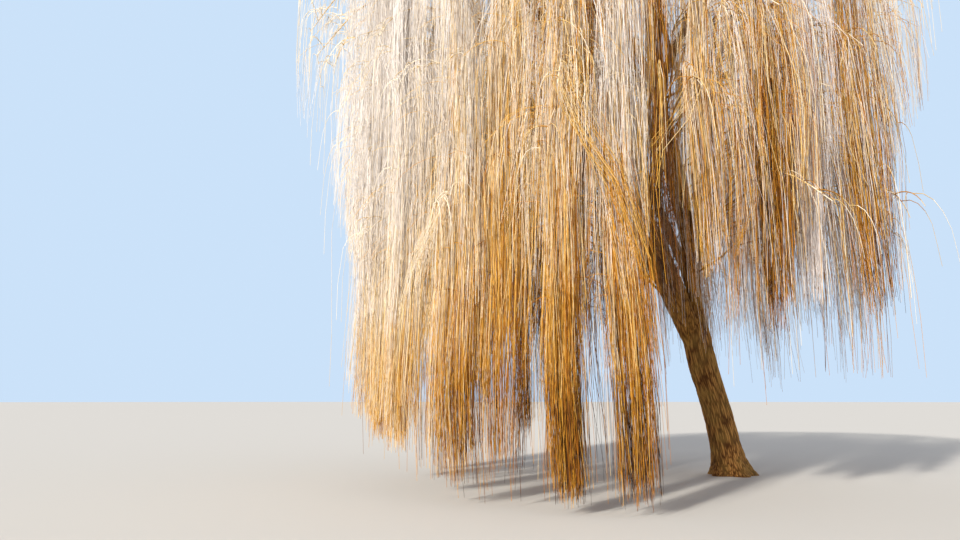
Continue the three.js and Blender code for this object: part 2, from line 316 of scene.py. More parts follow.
def barkMesh(name, verts, faces, furrows):
    mesh = bpy.data.meshes.new(name)
    mesh.from_pydata(verts.tolist(), [], faces)
    mesh.polygons.foreach_set("use_smooth", [True] * len(mesh.polygons))
    depth = mesh.attributes.new("plate", "FLOAT", "POINT")
    depth.data.foreach_set("value", np.asarray(furrows, np.float32))
    mesh.validate()
    mesh.update()
    return mesh


# Rings of points joined to a closed tube, with a pole at each end
def tubeFaces(rings, sides, first=0):
    faces = []
    for ring in range(rings - 1):
        low = first + ring * sides
        for side in range(sides):
            nextSide = (side + 1) % sides
            faces.append((low + side, low + nextSide, low + sides + nextSide, low + sides + side))
    footPole = first + rings * sides
    tipPole = footPole + 1
    last = first + (rings - 1) * sides
    for side in range(sides):
        nextSide = (side + 1) % sides
        faces.append((first + nextSide, first + side, footPole))
        faces.append((last + side, last + nextSide, tipPole))
    return faces


trunk = {
    "sides": 200, "rings": 190, "ringPower": 1.35, "radius": 0.44, "flare": 0.25,
    "flareHeight": 0.42, "roots": 5, "rootSwell": 0.17, "rootHeight": 0.59, "rootTurn": 0.6,
    "bulge": 0.05, "bulgeScale": (1.4, 0.8), "tipDome": 0.04, "forkHeight": 3.9, "forkLean": 0.87,
    "leaderRadius": 0.255, "leaderSettles": 1.5, "tipRadius": 0.11, "tipHeight": 15.7,
    "topStemDrop": 0.23,
}
trunkLine = smoothLine([
    (0, 0, 0),
    (-0.45 * trunk["forkLean"], 0.02, 0.5 * trunk["forkHeight"]),
    (-trunk["forkLean"], -0.06, trunk["forkHeight"]),
    (-trunk["forkLean"] - 0.25, -0.25, 8.2),
    (-2.05, -0.7, 12.0),
    (*crown["centre"], trunk["tipHeight"]),
])


def trunkRadius(height):
    flare = trunk["flare"] * np.exp(-height / trunk["flareHeight"])
    settled = smooth(trunk["forkHeight"], trunk["forkHeight"] + trunk["leaderSettles"], height)
    rise = np.maximum(0, (height - trunk["forkHeight"]) / (trunk["tipHeight"] - trunk["forkHeight"]))
    leader = mix(trunk["leaderRadius"], trunk["tipRadius"], rise)
    return mix(trunk["radius"], leader, settled) + flare


def trunkAt(height):
    x = np.interp(height, trunkLine[:, 2], trunkLine[:, 0])
    y = np.interp(height, trunkLine[:, 2], trunkLine[:, 1])
    return np.array([x, y, height])


# A bark-covered rod: points round its middles, with a pole at each end, their faces, and how high the
# bark stands at each. The radius without bark comes from radiusAt, and the finest relief from roughAt.
def barkRod(middles, axes, spans, thicks, tip, radiusAt, roughAt, look, sides, first=0):
    across, down = look["fineScale"]
    verts, furrows = [], []
    for middle, (normal, binormal), span, thick in zip(middles, axes, spans, thicks):
        scale = mix(look["leastScale"], 1, min(1.0, thick / trunk["radius"]))
        for side in range(sides):
            turn = 2 * math.pi * side / sides
            x, y = math.cos(turn), math.sin(turn)
            plate = plateHeight(x * thick + first, y * thick, span, scale)
            rough = roughAt(Vector((x * thick * across + first, y * thick * across, span * down)))
            radius = radiusAt(x, y, turn, span, thick)
            radius += bark["depth"] * scale * (plate - bark["level"]) * look["depth"]
            radius += bark["fine"] * look["fine"] * rough
            verts.append(middle + (normal * x + binormal * y) * radius)
            furrows.append(min(1.0, max(0.0, plate + look["fineShare"] * rough)))
    verts += [middles[0], tip]
    furrows += [0.5, 0.5]
    return verts, tubeFaces(len(middles), sides, first), furrows


def trunkMesh():
    last = trunk["rings"] - 1
    heights = [trunk["tipHeight"] * (ring / last) ** trunk["ringPower"] for ring in range(last + 1)]
    middles = [trunkAt(height) for height in heights]
    thicks = [float(trunkRadius(height)) for height in heights]
    axes = [np.eye(3)[:2]] * len(heights)
    wide, high = trunk["bulgeScale"]

    def radiusAt(x, y, turn, height, thick):
        swell = trunk["rootSwell"] * math.exp(-height / trunk["rootHeight"])
        lobes = 1 + swell * math.cos(trunk["roots"] * turn + trunk["rootTurn"])
        bulge = noise.noise(Vector((x * wide, y * wide, height * high)))
        return thick * lobes * (1 + trunk["bulge"] * bulge)

    def roughAt(place):
        return noise.fractal(place, 0.8, 2.0, 3)

    tip = middles[-1] + (0, 0, trunk["tipDome"])
    verts, faces, furrows = barkRod(
        middles, axes, heights, thicks, tip, radiusAt, roughAt, bark["trunk"], trunk["sides"]
    )
    return barkMesh("trunk", np.array(verts), faces, furrows)


# Points along everything woody, with the radius there, for keeping shoots off it
woodStep = 0.15
woodPlaces = []
woodRadii = []


def noteWood(line, radii):
    places = shares(int(lengthOf(line) / woodStep) + 2)
    woodPlaces.append(along(line, places))
    woodRadii.append(np.interp(places, shares(len(radii)), radii))


noteWood(trunkLine, trunkRadius(trunkLine[:, 2]))


# The rod of a limb or a bough, with a collar where it leaves its carrier
def limbRod(line, radii, sides, step, collar, first):
    places = shares(max(6, int(lengthOf(line) / step)))
    middles = along(line, places)
    ways = wayAlong(line, places)
    spans = np.concatenate([[0], np.cumsum(np.linalg.norm(np.diff(middles, axis=0), axis=1))])
    normal = np.cross(ways[0], (0.0, 0.0, 1.0))
    axes = []
    for way in ways:
        normal = normal - way * np.dot(normal, way)
        normal = normal / np.linalg.norm(normal)
        axes.append((normal, np.cross(way, normal)))
    bare = np.interp(places, shares(len(radii)), radii)
    thicks = bare * (1 + collar * np.exp(-spans / limb["collarLength"]))

    def radiusAt(x, y, turn, span, thick):
        return thick * (1 + limb["knots"] * noise.noise(Vector((span * 1.7, first * 0.37, 0))))

    tip = middles[-1] + ways[-1] * bare[-1] * limb["tipDome"]
    return barkRod(
        middles, axes, spans, thicks, tip, radiusAt, noise.noise, bark["limbs"], sides, first
    )


limb = {
    "firstHeight": 3.3, "heightStep": 0.6, "radii": [0.27, 0.205, 0.19, 0.18, 0.17, 0.16],
    "tipRadius": 0.1, "endRadius": 4.1, "endHeight": 12.3, "startRise": 64, "endRise": 26,
    "sides": 44, "step": 0.07, "collar": 0.22, "collarLength": 0.5, "knots": 0.10, "taper": 0.8,
    "tipDome": 0.4,
}
bough = {"radius": 0.096, "share": 0.82, "tipRadius": 0.062, "sides": 18, "step": 0.09, "collar": 0.15}
boughStart = {"outer": 0.8, "inner": 0.58, "secondInner": 0.48}
limbs = []
for k, thick in enumerate(limb["radii"]):
    bearing = 180 + math.ceil(k / 2) * (60 if k % 2 else -60)
    start = trunkAt(limb["firstHeight"] + k * limb["heightStep"])
    end = inCrown(limb["endRadius"], bearing, limb["endHeight"])
    leave = rising(headingTo(start, end), limb["startRise"])
    line = sweepLine(start, leave, end, rising(bearing, limb["endRise"]))
    radii = mix(thick, limb["tipRadius"], shares(60) ** limb["taper"])
    noteWood(line, radii)
    limbs.append({"name": f"limb_{k + 1}", "bearing": bearing, "line": line, "radii": radii, "boughs": []})

# The rings of shoot masses, from the rim of the crown to its top: where their stems and laterals run,
# their arches, the locks and sprays of each carrier, and the long and side shoots of each lock
rim = {
    "name": "outer_curtain", "slot": "frosted_shoots",
    "count": 12, "bearing": 15, "inner": 6.15, "outer": 9.15,
    "start": 0.7, "crest": 0.32, "droop": 0.9, "laterals": [-10, 10], "lateralStart": 0.04,
    "arches": 6, "archHeights": (6.4, 12.4), "archReach": (6.3, 8.2),
    "locks": 13, "archLocks": 5, "longOnes": 9, "sideOnes": 8, "sprays": 25,
    "ragged": 0.35, "thinner": 0.2,
}
middle = {
    "name": "inner_curtain", "slot": "golden_shoots",
    "count": 7, "bearing": 12, "inner": 3.35, "outer": 5.95,
    "start": 0.7, "crest": 0.32, "droop": 0.42, "laterals": [-15, 15], "lateralStart": 0.06,
    "arches": 3, "archHeights": (7.4, 12.2), "archReach": (4.2, 5.8),
    "locks": 8, "archLocks": 4, "longOnes": 8, "sideOnes": 3, "sprays": 12,
    "lowest": 3.9, "ragged": 2.4, "thinner": 0.34,
}
top = {
    "name": "top_curtain", "slot": "golden_shoots",
    "count": 3, "bearing": 90, "inner": 0.0, "outer": 3.15,
    "start": 0.0, "crest": 0.26, "droop": 0.36, "laterals": [-38, 38], "lateralStart": 0.36,
    "locks": 11, "longOnes": 9, "sideOnes": 3, "sprays": 12,
    "lowest": 8.2, "ragged": 2.6, "thinner": 0.2,
}
stem = {
    "radius": 0.055, "tipRadius": 0.012, "crestDrop": 0.21, "far": 0.7, "farDrop": 0.11, "tip": 0.93,
    "points": 16, "shades": (0.7, 3.2), "twigsFrom": 0.03, "twigRise": 1.0, "branchletsApart": 1.0,
}
lateral = {
    "radius": 0.038, "tipRadius": 0.010, "elbow": 0.17, "elbowTurn": 0.6, "elbowDrop": 0.34,
    "far": 0.55, "farDrop": 0.22, "tip": 0.92, "tipDrop": 0.16,
    "twigsFrom": 0.03, "twigRise": 1.0, "branchletsApart": 1.0,
}
# How the stems and laterals wander from their even courses, and how the crown's top swells and sinks
wander = {
    "aside": 0.26, "up": 0.34, "wavelength": 2.3, "looseBy": 0.25, "swell": 0.28, "swellWidth": 3.2,
    "highest": 17.8, "twigRoom": 0.2,
}


def ringBearings(ring):
    return [ring["bearing"] + 360 / ring["count"] * k for k in range(ring["count"])]


def wandering(line):
    loose = smooth(0, wander["looseBy"], shares(len(line)))
    moved = line.copy()
    for row, point in enumerate(line):
        bend = noise.noise_vector(Vector(point) / wander["wavelength"])
        swell = noise.noise(Vector((point[0], point[1], 40)) / wander["swellWidth"])
        up = wander["up"] * bend.z + wander["swell"] * swell
        moved[row] += loose[row] * np.array([wander["aside"] * bend.x, wander["aside"] * bend.y, up])
    moved[:, 2] = np.minimum(moved[:, 2], wander["highest"] - wander["twigRoom"])
    return moved


# A stem goes out under the dome, and droops at its tip
def stemLine(ring, bearing):
    reach = partial(mix, ring["inner"], ring["outer"])
    root = underDome(ring["inner"], bearing, ring["start"])
    if ring is top:
        root = trunkAt(trunk["tipHeight"] - trunk["topStemDrop"])
    return smoothLine([
        root,
        underDome(reach(ring["crest"]), bearing, stem["crestDrop"]),
        underDome(reach(stem["far"]), bearing, stem["farDrop"]),
        underDome(reach(stem["tip"]), bearing, ring["droop"]),
    ])


# A lateral swings out from the stem to its own bearing
def lateralLine(ring, bearing, offset, stemCurve):
    reach = partial(mix, ring["inner"], ring["outer"])
    return smoothLine([
        along(stemCurve, ring["lateralStart"]),
        underDome(reach(lateral["elbow"]), bearing + lateral["elbowTurn"] * offset, lateral["elbowDrop"]),
        underDome(reach(lateral["far"]), bearing + offset, lateral["farDrop"]),
        underDome(reach(lateral["tip"]), bearing + offset, ring["droop"] + lateral["tipDrop"]),
    ])


def nearestLimb(bearing):
    return min(limbs, key=lambda one: abs(turnBetween(one["bearing"], bearing)))


# Each limb's first bough leaves it at one share of its length, and the second at another
def placeBoughs(prefix, ring, firstShare, secondShare):
    used = []
    for k, bearing in enumerate(ringBearings(ring)):
        carrier = nearestLimb(bearing)
        share = secondShare if carrier["name"] in used else firstShare
        used.append(carrier["name"])
        stemCurve = stemLine(ring, bearing)
        way = wayAlong(carrier["line"], share)
        start = along(carrier["line"], share)
        end = stemCurve[0]
        straight = (end - start) / np.linalg.norm(end - start)
        leave = way if share == 1 else (straight + way) / np.linalg.norm(straight + way)
        line = sweepLine(start, leave, end, wayAlong(stemCurve, 0))
        there = float(np.interp(share, shares(60), carrier["radii"]))
        thick = min(bough["radius"], bough["share"] * there)
        radii = np.array([thick, bough["tipRadius"]])
        noteWood(line, radii)
        carrier["boughs"].append({"name": f"{prefix}{k + 1}", "line": line, "radii": radii})


placeBoughs("outer_bough_", rim, 1, boughStart["outer"])
placeBoughs("inner_bough_", middle, boughStart["inner"], boughStart["secondInner"])


# Long arching branches, which leave the limbs below the dome and carry the curtain's lower shoots.
# From some of them a sweep of shoots runs aslant for a while before it hangs: how far round it turns,
# how far down it goes meanwhile, and its number of shoots.
arch = {
    "keys": ("mass", "bearing", "height", "reach", "sweep"),
    "photo": [
        (8, -126, 6.3, 7.9, (-8, 1.8, 34)),
        (8, -131, 9.6, 7.9, (6, 2.2, 16)),
        (8, -122, 11.2, 8.0, None),
        (9, -105.5, 8.5, 8.1, (11.5, 3.6, 90)),
        (9, -113, 10.9, 8.2, (-5, 1.6, 14)),
        (10, -62, 5.2, 5.8, None),
        (10, -71, 10.4, 8.0, (5, 2.0, 14)),
    ],
    "sweepShare": 0.4, "sweepTurn": (4, 10), "sweepDrop": (1.6, 3.4), "sweepShoots": 14, "turn": 11,
    "radius": (0.022, 0.045), "tipRadius": 0.008, "startRise": (12, 62), "endRise": (-70, -34),
    "below": (0.6, 2.2), "leaveFrom": (0.1, 0.25), "leaveTo": 0.95, "locksFrom": 0.5,
    "twigsFrom": 0.4, "twigRise": 0.3, "branchletsApart": 2.0, "seed": 77,
}


def placeArches():
    rng = np.random.default_rng(arch["seed"])
    fromPhoto = [dict(zip(arch["keys"], row)) for row in arch["photo"]]
    for ring in (rim, middle):
        for number, bearing in enumerate(ringBearings(ring), 1):
            wanted = []
            for k in range(ring["arches"]):
                turn = rng.uniform(*arch["sweepTurn"]) * rng.choice([-1, 1])
                aslant = (turn, rng.uniform(*arch["sweepDrop"]), arch["sweepShoots"])
                wanted.append({
                    "bearing": bearing + rng.uniform(-arch["turn"], arch["turn"]),
                    "height": mix(*ring["archHeights"], (k + rng.random()) / ring["arches"]),
                    "reach": rng.uniform(*ring["archReach"]),
                    "sweep": aslant if rng.random() < arch["sweepShare"] else None,
                })
            wanted += [one for one in fromPhoto if ring is rim and one["mass"] == number]
            for one in wanted:
                toBearing, height, reach = one["bearing"], one["height"], one["reach"]
                carrier = nearestLimb(toBearing)
                heights = carrier["line"][:, 2]
                leaves = height - rng.uniform(*arch["below"])
                share = float(np.interp(leaves, heights, shares(len(heights))))
                share = float(np.clip(share, rng.uniform(*arch["leaveFrom"]), arch["leaveTo"]))
                start = along(carrier["line"], share)
                end = inCrown(reach, toBearing, height)
                leave = rising(headingTo(start, end), rng.uniform(*arch["startRise"]))
                arrive = rising(toBearing, rng.uniform(*arch["endRise"]))
                line = wandering(sweepLine(start, leave, end, arrive))
                radius = rng.uniform(*arch["radius"])
                noteWood(line[: int(len(line) * arch["locksFrom"])], np.array([radius, radius]))
                made = {"line": line, "radius": radius, "sweep": one["sweep"]}
                archesOf.setdefault((ring["name"], number), []).append(made)


archesOf = {}
placeArches()


def mapped(tree, value, ends):
    inputs = dict(zip(("From Min", "From Max", "To Min", "To Max"), ends), Value=value)
    return addNode(tree, "ShaderNodeMapRange", inputs).outputs["Result"]


def blended(tree, share, first, second, way="MIX"):
    inputs = {"Factor": share, "A": first, "B": second}
    return addNode(tree, "ShaderNodeMix", inputs, data_type="RGBA", blend_type=way).outputs["Result"]


# The look that the trunk's bark and the limbs' share. Each range says what a value is mapped from and to.
barkLook = {
    "stretch": (1, 1, 0.22), "grainDetail": 6, "grainRoughness": 0.65, "patchScale": 1.7,
    "patchDetail": 3,
    "raised": (0.1, 0.95, 0, 1), "patches": (0.42, 0.70, 0, 0.45), "grain": (0.25, 0.7, 0.45, 1.15),
    "roughness": (0, 1, 0.98, 0.8), "grainShare": 0.75, "bumpStrength": 0.8, "specular": 0.25,
}


def makeBarkGroup():
    group = bpy.data.node_groups.new("barkSurface", "ShaderNodeTree")
    addSockets(group, "INPUT", {
        "Furrow Colour": "Color", "Plate Colour": "Color", "Tint Colour": "Color", "Grain Scale": "Float",
    })
    addSockets(group, "OUTPUT", {"Colour": "Color", "Roughness": "Float", "Height": "Float"})
    add = partial(addNode, group)
    entry = add("NodeGroupInput").outputs
    place = add("ShaderNodeTexCoord").outputs["Object"]
    stretched = add("ShaderNodeMapping", {"Vector": place, "Scale": barkLook["stretch"]})
    grain = add("ShaderNodeTexNoise", {
        "Vector": stretched.outputs["Vector"], "Scale": entry["Grain Scale"],
        "Detail": barkLook["grainDetail"], "Roughness": barkLook["grainRoughness"],
    }).outputs["Fac"]
    patches = add("ShaderNodeTexNoise", {
        "Vector": place, "Scale": barkLook["patchScale"], "Detail": barkLook["patchDetail"],
    }).outputs["Fac"]
    plate = add("ShaderNodeAttribute", attribute_name="plate").outputs["Fac"]
    raised = mapped(group, plate, barkLook["raised"])
    tone = blended(group, raised, entry["Furrow Colour"], entry["Plate Colour"])
    tint = blended(group, mapped(group, patches, barkLook["patches"]), tone, entry["Tint Colour"])
    streaks = mapped(group, grain, barkLook["grain"])
    add("NodeGroupOutput", {
        "Colour": blended(group, barkLook["grainShare"], tint, streaks, "MULTIPLY"),
        "Roughness": mapped(group, plate, barkLook["roughness"]),
        "Height": grain,
    })
    return group


barkGroup = makeBarkGroup()


def barkMaterial(name, furrow, plate, tint, grainScale, bump):
    material, tree, surface = newMaterial(name)
    effect = addNode(tree, "ShaderNodeGroup", {
        "Furrow Colour": (*linear(furrow), 1), "Plate Colour": (*linear(plate), 1),
        "Tint Colour": (*linear(tint), 1), "Grain Scale": grainScale,
    }, node_tree=barkGroup).outputs
    lift = addNode(tree, "ShaderNodeBump", {
        "Height": effect["Height"], "Distance": bump, "Strength": barkLook["bumpStrength"],
    })
    feed(tree, surface, {
        "Base Color": effect["Colour"], "Roughness": effect["Roughness"],
        "Normal": lift.outputs["Normal"], "Specular IOR Level": barkLook["specular"],
    })
    return material


trunkBark = barkMaterial("trunkBark", "5a3818", "bb8748", "b4934f", 34, 0.012)
limbBark = barkMaterial("limbBark", "573614", "b58240", "c0964a", 48, 0.006)


def addPiece(name, mesh, slot, *replaced):
    piece = addObject(name, mesh)
    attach(piece, "root")
    if replaced:
        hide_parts(*replaced)


trunkPiece = trunkMesh()
trunkPiece.materials.append(trunkBark)
addPiece("trunk_with_bark", trunkPiece, "bark", "trunk")
report("trunk")

for one in limbs:
    rods = [(one["line"], one["radii"], limb["sides"], limb["step"], limb["collar"])]
    rods += [(b["line"], b["radii"], bough["sides"], bough["step"], bough["collar"]) for b in one["boughs"]]
    verts, faces, furrows = [], [], []
    for rod in rods:
        rodVerts, rodFaces, rodFurrows = limbRod(*rod, len(verts))
        verts += rodVerts
        faces += rodFaces
        furrows += rodFurrows
    mesh = barkMesh(one["name"], np.array(verts), faces, furrows)
    mesh.materials.append(limbBark)
    addPiece(one["name"] + "_with_boughs", mesh, "bark", one["name"], *[b["name"] for b in one["boughs"]])
report("limbs and boughs")


# How low the shoots hang
skirt = {"radius": 6.95, "front": 0.13, "left": 0.8, "right": 2.7, "rim": 10.8, "liftPower": 0.42}
opening = {"bearing": -79, "width": 10, "height": 3.6}
leftSide = {"bearing": 180, "width": 50}
rightSide = {"bearing": 5, "width": 80}
fullSide = {"bearing": -140, "width": 80, "here": 1.1, "elsewhere": 0.51}
# The tresses that the rim's long shoots gather into: the photo's in front, and the rest by chance.
# Each row is a bearing, radius, width, the height of its end, how far round it draws the shoots, how much
# lighter it is than its place, and what frost adds to that higher up. The low tone and frost of the tresses
# at -101.3 and -86.5, in shadow in front of the trunk, and at -116.3, in shadow deeper in, are painted
# shade.
tress = {
    "keys": ("bearing", "radius", "width", "end", "pull", "tone", "frost"),
    "photo": [
        (-163, 6.9, 0.4, 1.3, 1, 1.4, 0.6),
        (-152, 6.9, 0.42, 1.3, 1, 2.1, 0.6),
        (-141, 7.0, 0.5, 0.95, 1, 2.0, 0.2),
        (-127, 7.0, 0.44, 0.35, 1, -0.1, 0.2),
        (-116.3, 6.9, 0.34, 0.3, 0.9, -1.3, -0.4),
        (-105.8, 7.05, 0.25, 0.02, 1.4, -0.1, 0.5),
        (-101.3, 7.2, 0.17, 5.4, 1.0, -3.4, -2.0),
        (-95.2, 7.05, 0.28, 0.1, 3.4, -0.2, 2.3),
        (-86.5, 6.6, 0.36, 4.1, 1, -3.2, -1.4),
        (-79, 6.8, 0.22, 4.7, 1, -0.6, -0.4),
        (-65, 6.8, 0.24, 3.4, 1.6, -1.6, -1.2),
        (-57.5, 7.0, 0.3, 3.8, 1.4, 0.6, 1.2),
        (-41, 7.2, 0.26, 4.0, 1.4, -1.3, -1.2),
        (-27.5, 7.5, 0.4, 4.2, 3, -1.3, -1.2),
        (-18, 8.35, 0.4, 6.5, 1, 0.8, 1.3),
    ],
    "apart": (8, 13), "radius": (6.3, 7.1), "width": (0.26, 0.5), "above": 1.3, "uneven": 0.45,
    "round": 0.7, "looser": 0.55, "depth": 0.34, "share": 0.82, "within": 8.5, "veilShare": 0.45,
    "strayTone": -1.2, "thinShare": 0.14, "shortShare": 0.12, "seed": 5,
}


def placeTresses():
    rng = np.random.default_rng(tress["seed"])
    placed = [dict(zip(tress["keys"], row)) for row in tress["photo"]]
    bearing = placed[-1]["bearing"]
    while True:
        bearing += rng.uniform(*tress["apart"])
        if bearing > placed[0]["bearing"] + 360 - tress["apart"][0]:
            return placed
        radius = rng.uniform(*tress["radius"])
        placed.append({
            "bearing": bearing,
            "radius": radius,
            "width": rng.uniform(*tress["width"]),
            "end": float(curtainEnd(radius, bearing)) + rng.uniform(0, tress["above"]),
            "pull": 1,
            "tone": rng.normal(0, tress["uneven"]),
            "frost": rng.normal(0, tress["uneven"]),
        })


def curtainEnd(radius, bearing):
    side = skirt["left"] * nearness(bearing, leftSide) + skirt["right"] * nearness(bearing, rightSide)
    low = skirt["front"] + np.maximum(side, opening["height"] * nearness(bearing, opening))
    outside = np.maximum(0, (radius - skirt["radius"]) / (crown["radius"] - skirt["radius"]))
    return mix(low, skirt["rim"], np.minimum(1, outside) ** skirt["liftPower"])


def lowestEnd(ring, radius, bearing):
    if ring is rim:
        return curtainEnd(radius, bearing)
    return np.full(np.shape(radius), ring["lowest"])


tresses = placeTresses()


# Side branches along each stem, lateral and arch, and twigs along all of them
branchlet = {
    "apart": 0.42, "length": (0.7, 1.9), "angle": (22, 72), "rise": (0.3, 0.9), "sag": (0.5, 1.0),
    "shorter": 0.3, "bow": 0.25, "points": 7, "radius": 0.020, "tipRadius": 0.008,
    "shade": (0.4, 2.0), "paler": 1.4, "edge": 0.05, "beyond": 0.5,
}
twig = {
    "apart": 0.38, "length": (0.4, 1.3), "angle": (18, 78), "rise": (0.2, 0.85), "sag": (0.7, 1.35),
    "shorter": 0.3, "bow": 0.25, "points": 5, "radius": 0.013, "tipRadius": 0.005,
    "shade": (0.4, 2.8), "paler": 1.6, "onward": 0.12, "hangingPoints": 2, "hanging": (0.3, 2.4),
    "edge": 0.05, "beyond": 0.5,
}
# Hanging shoots. They gather in locks: the long ones leave the twigs, the side ones leave the long ones.
hanging = {
    "lowFrom": {"stem": 0.1, "lateral": 0.2},
    "lowTo": 0.36, "lowShare": 0.6, "coreShare": 0.7, "coreSpread": 0.15,
    "edgeSpread": (0.34, 0.72), "edgeLift": (1.6, 6.5), "strayLift": (1.2, 5.5),
    "lockSpread": (0.035, 0.10), "gather": (0.5, 5.4), "lift": (0.0, 0.20), "liftWithin": 0.11,
    "settle": 0.16, "settleShare": 0.9, "headShare": 0.6, "driftMost": 1.2, "step": 2.2,
    "drift": 0.08, "kink": 0.042, "radius": 0.0050, "tipRadius": 0.0036, "tuft": 0.42,
    "shortShare": 0.30, "shorter": (0.1, 0.8), "pool": 900, "rootsFrom": 0.4, "further": 0.3,
    "tone": 0.3, "toneSpread": 0.6, "sideSpread": 0.075, "sideTone": 0.7, "sideRadius": 0.85,
    "taper": 1.7,
    "heads": [0, 0.07, 0.22, 0.5], "sideHeads": [0, 0.3], "sidesUp": 0.6, "leastLength": 0.6,
    "leastSide": 0.8, "aboveGround": 0.1,
    "shadedShare": 0.34, "shadedStep": 3.3, "woodGap": 0.03, "edge": 0.09,
}
# A spray leaves a hanging shoot, arches outward, and carries a few shoots of its own
spray = {
    "length": (0.4, 1.7), "spread": 80, "rise": (0.1, 0.6), "sag": (0.5, 1.1), "bow": 0,
    "points": 6, "radius": 0.0105, "tipRadius": 0.005, "shoots": 8, "drop": (1.0, 4.6), "gather": 0.08,
    "below": 0.5, "tone": -2.6, "toneSpread": 0.8, "veilShare": 0.4, "heads": [0, 0.12, 0.4],
    "up": 0.8, "leastLength": 0.35,
}
sweep = {
    "from": 0.68, "spread": 0.09, "turnSpread": 1.35, "below": (0.6, 5.0), "tone": -1.2,
    "uneven": 0.6, "radius": 0.0062, "heads": [0, 0.25, 0.8, 1.5, 2.3],
    "quick": 0.12, "gather": (0.85, 1.2),
}
thinSide = {"bearing": 20, "width": 80}


def fullness(ring, bearing):
    full = mix(fullSide["elsewhere"], fullSide["here"], nearness(bearing, fullSide))
    return float(full - ring["thinner"] * nearness(bearing, thinSide))


def pick(rng, limits, count):
    return rng.uniform(limits[0], limits[1], count)


def turned(way, degrees):
    turn = np.radians(degrees)
    x = way[:, 0] * np.cos(turn) - way[:, 1] * np.sin(turn)
    y = way[:, 0] * np.sin(turn) + way[:, 1] * np.cos(turn)
    flat = np.stack([x, y], axis=1)
    return flat / np.maximum(1e-9, np.linalg.norm(flat, axis=1, keepdims=True))


# Draws points into their mass's own sector and ring
def keepInSpace(points, ring, bearing, edge, beyond=0.0):
    radius, turn = polarOf(points, bearing)
    half = np.maximum(4, 180 / ring["count"] - np.degrees(edge / np.maximum(radius, 0.5)))
    turn = bearing + np.clip(turn - bearing, -half, half)
    radius = np.clip(radius, max(0.0, ring["inner"] - 0.2), ring["outer"] + (0 if ring is rim else beyond))
    kept = points.copy()
    kept[..., 0], kept[..., 1], _ = inCrown(radius, turn, 0)
    return kept


# Arcs that leave level ways, and rise and sag by a plan
def arcs(start, way, plan, longer, higher, rng):
    length = (pick(rng, plan["length"], len(start)) * longer)[:, None, None]
    rise = (pick(rng, plan["rise"], len(start)) * higher)[:, None, None]
    sag = pick(rng, plan["sag"], len(start))[:, None, None]
    t = shares(plan["points"])[None, :, None]
    out = way[:, None, :] * length * (t - plan["bow"] * t * t)
    return start[:, None, :] + np.concatenate([out, length * (rise * t - sag * t * t)], axis=2)


# Side branches by a plan, along each of the lines, turn and turn about
def growSides(ring, bearing, lines, first, plan, shape, rng):
    length = np.linalg.norm(np.diff(lines, axis=1), axis=2).sum(axis=1)
    apart = plan["apart"] * (shape["branchletsApart"] if plan is branchlet else 1)
    counts = np.maximum(2, (length * (1 - first) / apart).astype(int))
    which = np.repeat(np.arange(len(lines)), counts)
    count = len(which)
    place = rng.uniform(first, 1.0, count) * (lines.shape[1] - 1)
    low = np.minimum(place.astype(int), lines.shape[1] - 2)
    way = lines[which, low + 1] - lines[which, low]
    start = lines[which, low] + way * (place - low)[:, None]
    side = np.where(np.arange(count) % 2 == 0, 1, -1)
    way = turned(way[:, :2], side * pick(rng, plan["angle"], count))
    out = arcs(start, way, plan, 1 - plan["shorter"] * place / lines.shape[1], shape["twigRise"], rng)
    if "hanging" in plan:
        fall = shares(plan["hangingPoints"] + 1)[None, 1:, None]
        fall = fall * pick(rng, plan["hanging"], count)[:, None, None]
        onward = way[:, None, :] * plan["onward"] * np.minimum(1, fall)
        out = np.concatenate([out, out[:, -1:] + np.concatenate([onward, -fall], axis=2)], axis=1)
    out[:, 1:] = keepInSpace(out[:, 1:], ring, bearing, plan["edge"], plan["beyond"])
    out[..., 2] = np.minimum(out[..., 2], wander["highest"])
    return out


def meetsWood(start, foot, low):
    places = np.vstack(woodPlaces)
    radii = np.concatenate(woodRadii)
    hit = np.zeros(len(start), bool)
    for rows in np.array_split(np.arange(len(start)), max(1, len(start) // 2000)):
        flat = np.hypot(foot[rows, None, 0] - places[None, :, 0], foot[rows, None, 1] - places[None, :, 1])
        beside = (places[None, :, 2] < start[rows, None, 2] - 0.3) & (places[None, :, 2] > low[rows, None])
        hit[rows] = np.any((flat < radii[None, :] + hanging["woodGap"]) & beside, axis=1)
    return hit


# Stations down each shoot: close together where it arches over, and even below
def shootPoints(start, foot, lift, end, heads, gather, rng):
    length = start[:, 2] - end
    offset = foot - start[:, :2]
    drift = rng.normal(0, hanging["drift"], offset.shape)
    settle = hanging["settle"] + hanging["settleShare"] * np.linalg.norm(offset, axis=1)
    counts = len(heads) + np.ceil(np.maximum(0.1, length - heads[-1]) / hanging["step"]).astype(int)
    quick, gatherDrop = gather
    for count in np.unique(counts):
        rows = np.nonzero(counts == count)[0]
        size = length[rows, None]
        tail = shares(count - len(heads) + 1)[None, 1:]
        head = np.minimum(heads, size * np.linspace(0, hanging["headShare"], len(heads)))
        down = np.concatenate([head, head[:, -1:] + (size - head[:, -1:]) * tail], axis=1)
        gone = quick * (1 - np.exp(-down / settle[rows, None]))
        gone = gone + (1 - quick) * smooth(0, gatherDrop, down)
        rise = lift[rows, None] * (1 - np.exp(-down / hanging["liftWithin"]))
        flat = start[rows][:, None, :2] + offset[rows][:, None, :] * gone[..., None]
        drifted = np.minimum(hanging["driftMost"], down / hanging["gather"][1])
        flat = flat + drift[rows][:, None, :] * drifted[..., None]
        flat = flat + rng.normal(0, hanging["kink"], flat.shape) * np.minimum(1, down)[..., None]
        height = start[rows][:, None, 2] + rise - down
        yield rows, np.concatenate([flat, height[..., None]], axis=2), down / size


